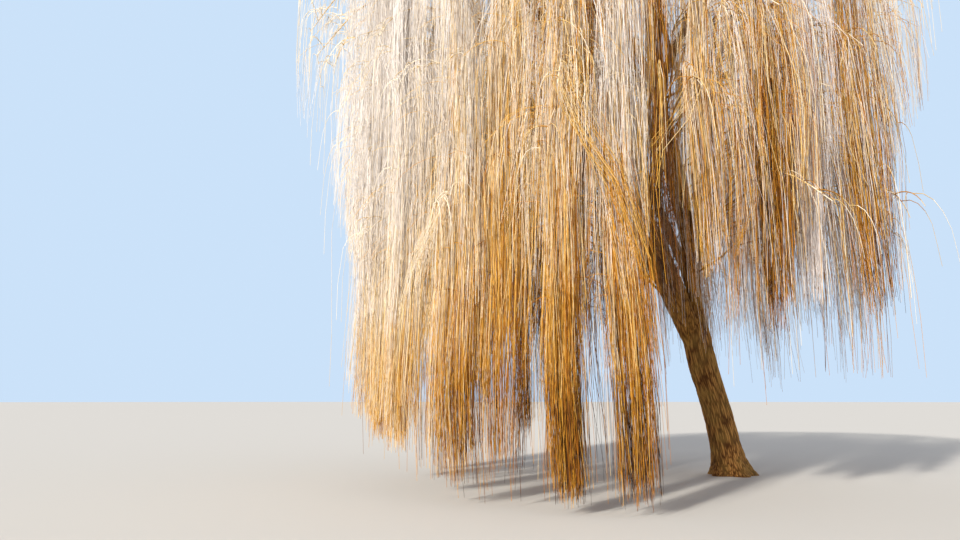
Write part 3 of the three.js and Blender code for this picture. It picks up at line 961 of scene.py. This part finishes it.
# The locks that hang from a carrier: their middles, how low they reach, how light and how frosted they
# are for their place, and their share of short shoots. The rim's gather into the tresses.
def placeLocks(ring, bearing, line, first, count, rng):
    share = rng.uniform(first, 1.0, count)
    if ring is rim and first < hanging["lowTo"]:
        low = rng.random(count) < hanging["lowShare"]
        share = np.where(low, rng.uniform(first, hanging["lowTo"], count), share)
    across = turned(wayAlong(line, share)[:, :2], 90.0)
    edge = rng.random(count) > hanging["coreShare"]
    aside = np.where(
        edge,
        pick(rng, hanging["edgeSpread"], count) * rng.choice([-1, 1], count),
        rng.normal(0, hanging["coreSpread"], count),
    )
    middles = along(line, share)
    middles[:, :2] += across * aside[:, None]
    middles = keepInSpace(middles, ring, bearing, 0.2)
    radius, turn = polarOf(middles, bearing)
    ragged = ring["ragged"] * rng.random(count) ** 2
    low = lowestEnd(ring, radius, turn) + ragged + np.where(edge, pick(rng, hanging["edgeLift"], count), 0)
    if ring is not rim:
        none = np.zeros(count)
        return middles, {"low": low, "tone": none, "frost": none, "short": none + hanging["shortShare"]}

    near = [one for one in tresses if abs(turnBetween(one["bearing"], bearing)) < 180 / ring["count"]]
    at = {key: np.array([one[key] for one in near]) for key in near[0]}
    centres = bearing + turnBetween(at["bearing"], bearing)
    apart = np.abs(turn[:, None] - centres) / at["pull"] + rng.uniform(0, 4, (count, len(near)))
    which = np.argmin(apart, axis=1)
    share = tress["share"] * (1 - tress["veilShare"] * float(nearness(bearing, frostAndShade["veil"])))
    share += tress["thinShare"] * float(nearness(bearing, thinSide))
    joins = (rng.random(count) < share) & (radius < tress["within"])
    swing, reach = rng.uniform(0, 2 * np.pi, count), np.sqrt(rng.random(count))
    out = at["radius"][which] + tress["depth"] * reach * np.sin(swing)
    toward = centres[which] + np.degrees(at["width"][which] * reach * np.cos(swing) / out)
    middles = np.where(joins[:, None], inCrown(out, toward, middles[:, 2]).T, middles)
    lifted = low + pick(rng, hanging["strayLift"], count)
    loose = (ragged + tress["round"] * reach ** 3) * (1 + tress["looser"] * at["end"][which])
    return middles, {
        "low": np.where(joins, at["end"][which] + loose, lifted),
        "tone": np.where(joins, at["tone"][which], tress["strayTone"]),
        "frost": np.where(joins, at["frost"][which], 0),
        "short": np.where(joins, tress["shortShare"], hanging["shortShare"]),
    }


# How frosted a shoot is at a place, as a step among the shades, and the painted shade laid over that
frostAndShade = {
    "heights": [0.3, 2.5, 5.0, 8.3, 11.0], "levels": [1.8, 2.8, 4.0, 5.7, 6.7],
    "veil": {"bearing": 188, "width": 60, "amount": 2.8},
    # The crown's shaded side, right and back: whiter frost there, and part of it lilac, as painted shade on
    # frost
    "shadedFrostSide": {"bearing": 10, "width": 84, "amount": 0.7},
    "lilacFrom": (0.1, 0.58), "lilacShare": 0.8, "lilacByFrost": 0.7, "patchy": 0.45,
    "highTwigs": 1.3, "veilTwigs": 1.5, "twigsFrom": (10.5, 14.5), "inside": (3.6, 6.8),
    "insideAmount": -4.2, "rim": (6.5, 8.8), "rimAmount": 0.4, "evened": 0.6,
    "veilFrom": (0.2, 3.2), "tressFrom": (2.0, 6.5),
}


def shadeLevel(points, bearing, own, veilShare=1.0):
    radius, turn = polarOf(points, bearing)
    level = np.interp(points[..., 2], frostAndShade["heights"], frostAndShade["levels"])
    veil = veilShare * nearness(turn, frostAndShade["veil"]) * smooth(*frostAndShade["veilFrom"], points[..., 2])
    shadedSide = nearness(turn, frostAndShade["shadedFrostSide"])
    inside = 1 - smooth(*frostAndShade["inside"], radius)
    level = level + frostAndShade["rimAmount"] * smooth(*frostAndShade["rim"], radius)
    # Darker inside the crown: partly less frost there, partly painted shade of the crown's shadowed inside
    level = level + frostAndShade["insideAmount"] * inside * (1 - frostAndShade["evened"] * shadedSide)
    level = level + frostAndShade["veil"]["amount"] * veil + frostAndShade["shadedFrostSide"]["amount"] * shadedSide
    high = smooth(*frostAndShade["tressFrom"], points[..., 2])
    level = level + own["frost"][:, None] * high
    level = level + own["tone"][:, None] * (1 - frostAndShade["evened"] * veil)
    # On the shaded side many shoots take the lilac frost: painted shade on frost
    lilacShare = frostAndShade["lilacShare"] * (1 + frostAndShade["lilacByFrost"] * own["frost"][:, None])
    lilac = own["luck"][:, None] < lilacShare * smooth(*frostAndShade["lilacFrom"], shadedSide)
    return np.where(lilac, len(shootShades) - 0.5, np.minimum(level, len(shootShades) - 1.5))


# What each point of a line carries; rod is the largest radius in its group
lineValues = ("girth", "shade", "sway", "rod")


# A mesh of lines, from groups of their points, radii, shades and sways
def meshOfLines(groups):
    groups = [group for group in groups if len(group[0])]
    edges, first = [], 0
    for points, _, _, _ in groups:
        index = first + np.arange(points[..., 0].size).reshape(points.shape[:2])
        edges.append(np.stack([index[:, :-1].ravel(), index[:, 1:].ravel()], axis=1))
        first += index.size
    edges = np.concatenate(edges)
    columns = [np.concatenate([np.ravel(part) for part in column]) for column in zip(*groups)]
    rod = np.concatenate([np.full(radii.size, radii.max()) for _, radii, _, _ in groups])
    mesh = bpy.data.meshes.new("lines")
    mesh.vertices.add(first)
    mesh.vertices.foreach_set("co", columns[0].astype(np.float32))
    mesh.edges.add(len(edges))
    mesh.edges.foreach_set("vertices", edges.astype(np.int32).ravel())
    for name, values in zip(lineValues, [*columns[1:], rod]):
        attribute = mesh.attributes.new(name, "FLOAT", "POINT")
        attribute.data.foreach_set("value", values.astype(np.float32))
    mesh.update()
    return mesh


# Geometry Nodes: turn lines into thin closed shoots, let them sway, and deal out the shades
def makeShootTree(name, materials):
    tree = bpy.data.node_groups.new(name, "GeometryNodeTree")
    sockets = addSockets(tree, "INPUT", {
        "Geometry": "Geometry", "Sides": "Int", "Thick Sides": "Int", "Thick From": "Float",
        "Thickness": "Float", "Flow": "Float", "Waviness": "Float", "Seed": "Float",
    })
    addSockets(tree, "OUTPUT", {"Geometry": "Geometry"})
    add = partial(addNode, tree)
    entry = add("NodeGroupInput").outputs

    def attribute(label):
        return add("GeometryNodeInputNamedAttribute", {"Name": label}).outputs["Attribute"]

    def vector(operation, inputs):
        return add("ShaderNodeVectorMath", inputs, operation=operation).outputs[0]

    def waves(scale, amount):
        place = add("GeometryNodeInputPosition").outputs[0]
        ripple = add("ShaderNodeTexNoise", {
            "Vector": vector("MULTIPLY", {0: place, 1: scale}), "W": entry["Seed"], "Scale": 1, "Detail": 1,
        }, noise_dimensions="4D")
        centred = vector("SUBTRACT", {0: ripple.outputs["Color"], 1: (0.5, 0.5, 0.5)})
        return vector("SCALE", {0: centred, "Scale": amount})

    flow = waves(sway["flowScale"], entry["Flow"])
    total = vector("ADD", {0: flow, 1: waves(sway["waveScale"], entry["Waviness"])})
    level = vector("MULTIPLY", {0: total, 1: (1, 1, 0)})
    moved = add("GeometryNodeSetPosition", {
        "Geometry": entry["Geometry"], "Offset": vector("SCALE", {0: level, "Scale": attribute("sway")}),
    })
    compared = {"A": attribute("rod"), "B": entry["Thick From"]}
    isThick = add("FunctionNodeCompare", compared, operation="GREATER_THAN")
    sorting = {"Geometry": moved.outputs[0], "Selection": isThick.outputs[0]}
    parted = add("GeometryNodeSeparateGeometry", sorting, domain="POINT")
    girths = {0: attribute("girth"), 1: entry["Thickness"]}
    thickness = add("ShaderNodeMath", girths, operation="MULTIPLY")
    joined = add("GeometryNodeJoinGeometry")
    for part, sides in (("Selection", "Thick Sides"), ("Inverted", "Sides")):
        curves = add("GeometryNodeMeshToCurve", {"Mesh": parted.outputs[part]})
        profile = add("GeometryNodeCurvePrimitiveCircle", {"Resolution": entry[sides], "Radius": 1})
        tube = add("GeometryNodeCurveToMesh", {
            "Curve": curves.outputs[0], "Profile Curve": profile.outputs["Curve"],
            "Scale": thickness.outputs[0], "Fill Caps": True,
        })
        feed(tree, joined, {"Geometry": tube.outputs["Mesh"]})
    rounded = add("GeometryNodeSetShadeSmooth", {"Geometry": joined.outputs[0]})
    last = add("GeometryNodeRealizeInstances", {"Geometry": rounded.outputs[0]}).outputs[0]
    for step, material in enumerate(materials):
        compared = {"A": attribute("shade"), "B": step if step else -1000.0}
        chosen = add("FunctionNodeCompare", compared, operation="GREATER_EQUAL")
        last = add("GeometryNodeSetMaterial", {
            "Geometry": last, "Selection": chosen.outputs[0], "Material": material,
        }).outputs[0]
    add("NodeGroupOutput", {"Geometry": last})
    return tree, sockets


sway = {
    "flow": 0.8, "flowScale": (0.45, 0.45, 0.16), "waviness": 0.16, "thinWaviness": 0.2,
    "waveScale": (7.0, 7.0, 0.42), "seed": 3.7, "full": 1.6,
}
tubes = {"Sides": 3, "Thick Sides": 7, "Thick From": 0.0215, "Thickness": 1.0}
shootTree, shootSockets = makeShootTree("hangingShoots", shootMaterials)
twigTree, twigSockets = makeShootTree("sideTwigs", twigMaterials)


def grown(name, mesh, tree, sockets, values):
    carrier = addObject(name + "_lines", mesh)
    modifier = carrier.modifiers.new("grow", "NODES")
    modifier.node_group = tree
    for label, value in values.items():
        modifier[sockets[label]] = value
    graph = bpy.context.evaluated_depsgraph_get()
    made = bpy.data.meshes.new_from_object(carrier.evaluated_get(graph))
    made.name = name
    for label in lineValues:
        if label in made.attributes:
            made.attributes.remove(made.attributes[label])
    bpy.data.objects.remove(carrier)
    bpy.data.meshes.remove(mesh)
    return made


totals = {"shoots": 0, "twigs": 0, "largest": 0}


def triangles(mesh):
    sizes = np.zeros(len(mesh.polygons), np.int32)
    mesh.polygons.foreach_get("loop_total", sizes)
    return int((sizes - 2).sum())


# A shoot's own tone against its neighbours, its extra frost, and its luck in frosting over. A share of the
# shoots are a step darker: painted shade of shoots in the shadow of others.
def ownTones(tone, frost, rng):
    shaded = rng.random(len(tone)) < hanging["shadedShare"]
    tone = tone + rng.normal(0, hanging["toneSpread"], len(tone)) - hanging["shadedStep"] * shaded
    return {"tone": tone, "frost": frost, "luck": rng.random(len(tone))}


def some(own, rows):
    return {key: values[rows] for key, values in own.items()}


# Lays shoots down from their starts; held is how far the start itself already sways
def hang(ring, bearing, start, foot, end, heads, own, radius, groups, rng, lift=0, held=0,
         gather=hanging["gather"]):
    made = []
    lift, held = lift * np.ones(len(start)), held * np.ones(len(start))
    for rows, points, down in shootPoints(start, foot, lift, end, heads, gather, rng):
        points[:, 1:] = keepInSpace(points[:, 1:], ring, bearing, hanging["edge"], twig["beyond"])
        radii = mix(radius, hanging["tipRadius"], down ** hanging["taper"])
        below = points[:, :1, 2] - points[..., 2]
        sways = np.maximum(held[rows, None], np.clip(below / sway["full"], 0, 1))
        tones = some(own, rows)
        levels = shadeLevel(points, bearing, tones) + rng.normal(0, frostAndShade["patchy"], sways.shape)
        groups.append((points, radii, levels, sways))
        made.append((points, sways, tones["tone"], tones["frost"], rows))
    return made


# Picks as many places on hanging shoots as asked; a higher power picks them further up
def placesOn(made, count, power, rng):
    made = [one for one in made if one[0].shape[1] > 6]
    sizes = np.array([len(one[0]) for one in made], float)
    if not len(sizes):
        return []
    places = []
    numbers = rng.multinomial(count, sizes / sizes.sum())
    for (points, sways, tones, frosts, rows), number in zip(made, numbers):
        which = rng.integers(0, len(points), number)
        station = (3 + (points.shape[1] - 5) * rng.random(number) ** power).astype(int)
        ends = points[which, -1, 2]
        at = (points[which, station], sways[which, station], tones[which], frosts[which], rows[which], ends)
        places.append(at)
    return [np.concatenate(column) for column in zip(*places)]


def growSprays(ring, bearing, made, count, groups, rng):
    found = placesOn(made, count, spray["up"], rng)
    if not found:
        return
    start, held, _, frost, _, _ = found
    number = len(start)
    out = start[:, :2] - np.array(crown["centre"])
    way = turned(out, rng.normal(0, spray["spread"], number))
    line = arcs(start, way, spray, 1, 1, rng)
    line[:, 1:] = keepInSpace(line[:, 1:], ring, bearing, hanging["edge"])
    inside = line[:, -1, 2] > lowestEnd(ring, *polarOf(line[:, -1], bearing)) + spray["below"]
    line, held, frost = line[inside], held[inside], frost[inside]
    number = len(line)
    radii = mix(spray["radius"], spray["tipRadius"], shares(spray["points"])) * np.ones((number, 1))
    sprayTone = rng.normal(0, spray["toneSpread"], number)
    own = {"tone": spray["tone"] + 0.5 * sprayTone, "frost": frost, "luck": np.ones(number)}
    levels = shadeLevel(line, bearing, own, spray["veilShare"])
    groups.append((line, radii, levels, held[:, None] * np.ones(radii.shape)))

    which = np.repeat(np.arange(number), spray["shoots"])
    station = rng.integers(2, spray["points"], len(which))
    root = line[which, station]
    foot = line[which, -1, :2] + rng.normal(0, spray["gather"], (len(which), 2))
    lowest = lowestEnd(ring, *polarOf(foot, bearing))
    end = root[:, 2] - pick(rng, spray["drop"], len(which))
    end = np.maximum(end, lowest - spray["below"] * rng.random(len(which)))
    end = np.minimum(np.maximum(end, hanging["aboveGround"]), root[:, 2] - spray["leastLength"])
    clear = end > 0.08
    which, root, foot, end = which[clear], root[clear], foot[clear], end[clear]
    own = ownTones(sprayTone[which] + 0.4, frost[which], rng)
    radius = hanging["radius"] * hanging["sideRadius"]
    hang(ring, bearing, root, foot, end, spray["heads"], own, radius, groups, rng, held=held[which])


# The shoots of one carrier: for each lock, long ones from the nearest twigs, then side ones and sprays
# from those
def growShoots(ring, bearing, line, twigs, first, locks, groups, rng):
    share = math.sqrt(fullness(ring, float(polarOf(along(line, 0.7), bearing)[1])))
    locks = max(3, round(locks * share))
    middles, lockOwn = placeLocks(ring, bearing, line, first, locks, rng)
    lows = lockOwn["low"]
    longOnes = round(ring["longOnes"] * share)
    sideOnes = round(ring["sideOnes"] * share)
    pool = hanging["pool"]
    which = rng.integers(0, len(twigs), pool)
    place = rng.uniform(hanging["rootsFrom"], twig["points"] - 1, pool)
    low = np.minimum(place.astype(int), twig["points"] - 2)
    part = (place - low)[:, None]
    roots = twigs[which, low] * (1 - part) + twigs[which, low + 1] * part
    far = np.linalg.norm(roots[None, :, :2] - middles[:, None, :2], axis=2)
    nearest = np.argsort(far + rng.uniform(0, hanging["further"], far.shape), axis=1)[:, :longOnes]
    lock = np.repeat(np.arange(locks), longOnes)
    start = roots[nearest.ravel()]
    count = len(start)
    spread = pick(rng, hanging["lockSpread"], locks)
    foot = middles[lock, :2] + rng.normal(0, 1, (count, 2)) * spread[lock, None]
    end = lows[lock] + hanging["tuft"] * rng.random(count) ** 2
    short = rng.random(count) < lockOwn["short"][lock]
    end = np.where(short, end + (start[:, 2] - end) * pick(rng, hanging["shorter"], count), end)
    end = np.minimum(end, start[:, 2] - hanging["leastLength"])
    lift = pick(rng, hanging["lift"], count)
    tone = hanging["tone"] + lockOwn["tone"] + rng.normal(0, hanging["toneSpread"], locks)
    own = ownTones(tone[lock], lockOwn["frost"][lock], rng)
    free = np.nonzero(~meetsWood(start, foot, end))[0]
    lock = lock[free]
    made = hang(ring, bearing, start[free], foot[free], end[free], hanging["heads"], some(own, free),
                hanging["radius"], groups, rng, lift[free])

    found = placesOn(made, locks * sideOnes, hanging["sidesUp"], rng)
    if not found:
        return
    start, held, tone, frost, parent, parentEnd = found
    foot = start[:, :2] + rng.normal(0, hanging["sideSpread"], (len(start), 2))
    end = np.maximum(lows[lock[parent]] + hanging["tuft"] * rng.random(len(start)), parentEnd - 0.4)
    end = np.maximum(np.minimum(end, start[:, 2] - hanging["leastSide"]), hanging["aboveGround"])
    own = ownTones(tone * hanging["sideTone"], frost, rng)
    radius = hanging["radius"] * hanging["sideRadius"]
    hang(ring, bearing, start, foot, end, hanging["sideHeads"], own, radius, groups, rng, held=held)
    growSprays(ring, bearing, made, round(ring["sprays"] * share), groups, rng)


# A sweep leaves an arch's outer stretch, runs aslant to one side, and hangs from there
def growSweep(ring, bearing, line, plan, groups, rng):
    aside, drop, count = plan
    start = along(line, rng.uniform(sweep["from"], 1.0, count)) + rng.normal(0, sweep["spread"], (count, 3))
    radius, turn = polarOf(start, bearing)
    turn = turn + aside + rng.normal(0, sweep["turnSpread"], count)
    foot = inCrown(radius + rng.normal(0, sweep["spread"], count), turn, 0).T[:, :2]
    end = start[:, 2] - drop - pick(rng, sweep["below"], count)
    end = np.maximum(end, lowestEnd(ring, skirt["radius"], turn) + hanging["tuft"] * rng.random(count))
    end = np.minimum(end, start[:, 2] - hanging["leastSide"])
    tone = sweep["tone"] + rng.normal(0, sweep["uneven"], count)
    own = {"tone": tone, "frost": np.zeros(count), "luck": np.ones(count)}
    gather = (sweep["quick"], drop * rng.uniform(*sweep["gather"]))
    hang(ring, bearing, start, foot, end, sweep["heads"], own, sweep["radius"], groups, rng, gather=gather)


# How much further the twigs' shades go towards frost in the crown's top and on its frostiest side
def twigFrost(points, bearing):
    veil = frostAndShade["veilTwigs"] * nearness(polarOf(points, bearing)[1], frostAndShade["veil"])
    return veil + frostAndShade["highTwigs"] * smooth(*frostAndShade["twigsFrom"], points[..., 2])


# A group of woody lines, which taper by how far down each a point is, and don't sway
def woodyGroup(lines, shape, down, levels):
    radii = mix(shape["radius"], shape["tipRadius"], down) * np.ones((len(lines), 1))
    return lines, radii, levels, np.zeros(radii.shape)


def dealtLevels(lines, plan, down, bearing, rng):
    return rng.uniform(*plan["shade"], (len(lines), 1)) + plan["paler"] * down + twigFrost(lines, bearing)


def growMass(ring, number, bearing, seed):
    rng = np.random.default_rng(seed)
    node = f"{ring['name']}_{number}"
    stemCurve = wandering(stemLine(ring, bearing))
    carriers = [(stemCurve, hanging["lowFrom"]["stem"], ring["locks"], stem)]
    for offset in ring["laterals"]:
        line = wandering(lateralLine(ring, bearing, offset, stemCurve))
        carriers.append((line, hanging["lowFrom"]["lateral"], ring["locks"], lateral))
    for one in archesOf.get((ring["name"], number), []):
        carriers.append((one["line"], arch["locksFrom"], ring["archLocks"], {**arch, **one}))

    groups, twigGroups = [], []
    for line, first, locks, shape in carriers:
        branchlets = growSides(ring, bearing, line[None], shape["twigsFrom"], branchlet, shape, rng)
        twigs = np.concatenate([
            growSides(ring, bearing, line[None], shape["twigsFrom"], twig, shape, rng),
            growSides(ring, bearing, branchlets, 0.1, twig, shape, rng),
        ])
        growShoots(ring, bearing, line, twigs, first, locks, groups, rng)
        if shape.get("sweep"):
            growSweep(ring, bearing, line, shape["sweep"], groups, rng)
        for lines, plan in ((twigs, twig), (branchlets, branchlet)):
            down = np.minimum(1, np.arange(lines.shape[1]) / (plan["points"] - 1))[None]
            levels = dealtLevels(lines, plan, down, bearing, rng)
            twigGroups.append(woodyGroup(lines, plan, down, levels))
        down = shares(stem["points"])[None]
        twigGroups.append(woodyGroup(along(line, down), shape, down, mix(*stem["shades"], down)))

    waviness = mix(sway["waviness"], sway["thinWaviness"], float(nearness(bearing, thinSide)))
    values = dict(tubes, Flow=sway["flow"], Waviness=waviness, Seed=sway["seed"])
    mesh = grown(node, meshOfLines(groups), shootTree, shootSockets, values)
    addPiece(node + "_shoots", mesh, ring["slot"], node)
    totals["shoots"] += triangles(mesh)
    totals["largest"] = max(totals["largest"], triangles(mesh))
    values = dict(tubes, Flow=0.0, Waviness=0.0, Seed=0.0)
    mesh = grown(node, meshOfLines(twigGroups), twigTree, twigSockets, values)
    addPiece(node + "_twigs", mesh, ring["slot"])
    totals["twigs"] += triangles(mesh)


seed = 1
for ring in (rim, middle, top):
    for number, bearing in enumerate(ringBearings(ring), 1):
        growMass(ring, number, bearing, seed)
        seed += 1
    report(ring["name"])
print(totals)
